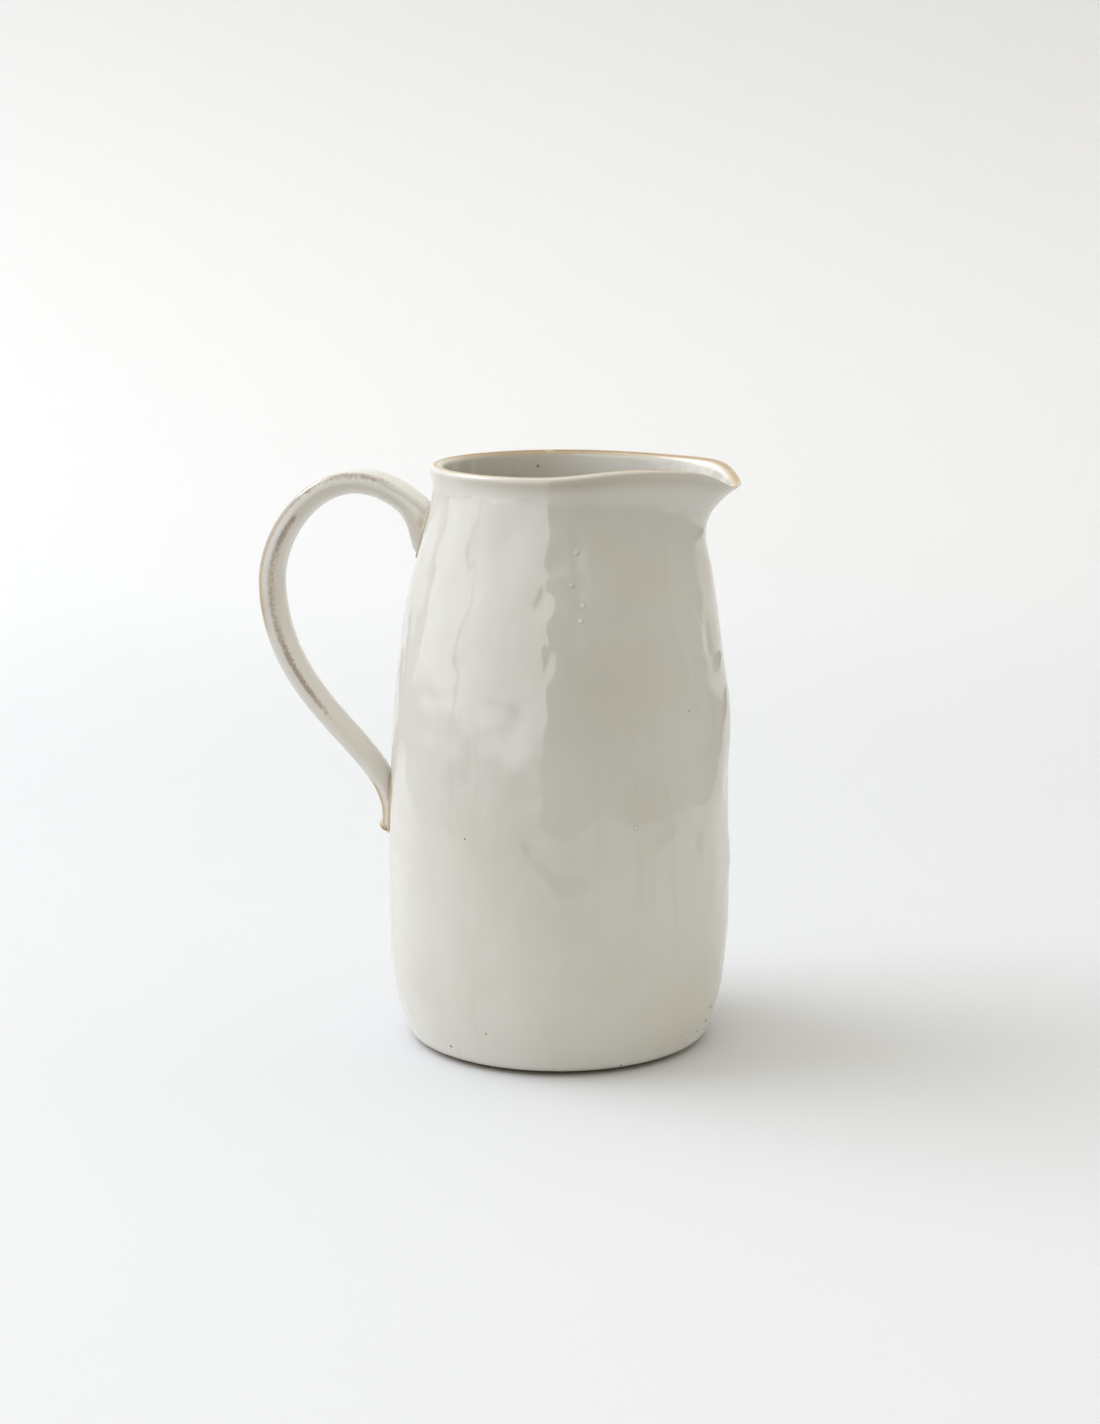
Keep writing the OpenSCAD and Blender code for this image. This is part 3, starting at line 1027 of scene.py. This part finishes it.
def card(name, place, size, tilt, turn, grey, high_grey, far_share=1, lights_clay=False):
    """Adds a card that only reflections show: one grey below, another above, and dimmer at its far end."""
    holder = flat(name, place, size, tilt, turn)
    material, tree, shader, on_card = start_material(name + "_grey", 1)
    shader.inputs["Base Color"].default_value = (0, 0, 0, 1)
    shader.inputs["Specular IOR Level"].default_value = 0
    own = add(tree, "SeparateXYZ", {"Vector": on_card})
    greys = [(0.97 * tone, tone, 1.06 * tone, 1) for tone in (grey, high_grey)]
    glow = blend(tree, fade(tree, own["Y"], -0.44, -0.30), *greys)
    tree.links.new(glow, shader.inputs["Emission Color"])
    along = {"Value": own["X"], "From Min": -0.5, "From Max": 0.1, "To Min": 1, "To Max": far_share}
    strength = add(tree, "MapRange", along)["Result"]
    tree.links.new(strength, shader.inputs["Emission Strength"])
    holder.data.materials.append(material)
    holder.visible_camera = holder.visible_shadow = False
    holder.visible_diffuse = lights_clay


apron = flat("apron", (0, (apron_front + paper_front) / 2, 0), (paper_w, paper_front - apron_front))
apron.data.materials.append(paper_white)
apron.visible_diffuse = apron.visible_glossy = False

# The dim floor in front lies under the apron, which only the camera sees
dim_place = (0, (dim_front + paper_front) / 2, -0.002)
card("front_floor", dim_place, (8, paper_front - dim_front), 0, 0, 0.12, 0.12, lights_clay=True)
card("front_wall", (0, -2.8, 0.6), (8, 1.2), 90, 0, 0.15, 0.15)
card("left_board", (-0.55, -0.47, 0.35), (0.92, 0.7), 90, -23.7, 0.8, 2.6)
card("left_floor", (-2.3, 0.5, 0.002), (3.5, 2.02), 0, 0, 0.5, 0.5)
card("left_wall", (-1.0, 0.7, 0.35), (1.9, 0.7), 90, 90, 0.8, 2.6, far_share=0.4)
card("right_board", (0.37, -0.6, 0.35), (0.415, 0.7), 90, 31.5, 0.2, 0.2)
card("right_floor", (2.25, 0.2, 0.002), (3.5, 1.56), 0, 0, 0.2, 0.2)
card("right_wall", (1.5, -0.28, 0.6), (2.5, 1.2), 90, 90, 0.2, 0.2)


def lamp(name, turn, distance, up, size, watts, tint, reflected_only=False):
    """Adds a soft lamp, placed by its angle from the camera's side and aimed at the pitcher."""
    light = bpy.data.lights.new(name, "AREA")
    light.shape = "RECTANGLE"
    light.size, light.size_y = size
    light.energy = watts
    light.color = tint
    holder = bpy.data.objects.new(name, light)
    bpy.context.scene.collection.objects.link(holder)
    bearing = radians(turn - 90) + view_turn
    holder.location = (distance * cos(bearing), distance * sin(bearing), up)
    aim = Vector((0, 0, height / 2)) - holder.location
    holder.rotation_euler = aim.to_track_quat("-Z", "Y").to_euler()
    holder.visible_camera = False
    holder.visible_diffuse = not reflected_only


lamp("window", -103, 3.3, 2.95, (4.0, 3.2), 142, (0.81, 0.875, 1.0))
lamp("pane", -103, 3.2, 2.86, (1.4, 1.0), 110, (1, 1, 1), reflected_only=True)

# The light all around: dim from the front, brighter from above and behind, and a plain white to look at
dim_air = (0.455, 0.435, 0.375, 1)
bright_air = (1.14, 1.115, 1.02, 1)
plain_white = (0.88, 0.88, 0.88, 1)
above_behind = (-0.7 * sin(view_turn), 0.7 * cos(view_turn), 0.7)
scene = bpy.context.scene
studio = bpy.data.worlds.new("studio")
studio.use_nodes = True
tree = studio.node_tree
outlook = add(tree, "TexCoord", {})["Generated"]
behind = vector_of(tree, "DOT_PRODUCT", outlook, above_behind)["Value"]
air = blend(tree, fade(tree, behind, -0.5, 0.7), dim_air, bright_air)
ray = add(tree, "LightPath", {})
seen = math_of(tree, "MAXIMUM", ray["Is Camera Ray"], ray["Is Glossy Ray"])
seen = math_of(tree, "MAXIMUM", seen, ray["Is Transmission Ray"])
air = blend(tree, seen, air, plain_white)
tree.links.new(air, tree.nodes["Background"].inputs["Color"])
scene.world = studio
scene.view_settings.view_transform = "Standard"

# The camera stands where the photograph was taken from
camera = bpy.data.objects.new("camera", bpy.data.cameras.new("camera"))
scene.collection.objects.link(camera)
camera.location = (0.1671, -1.1425, 0.3819)
camera.rotation_euler = (radians(78.285), 0, view_turn)
camera.data.lens = 69.22
camera.data.sensor_width = 36
scene.camera = camera
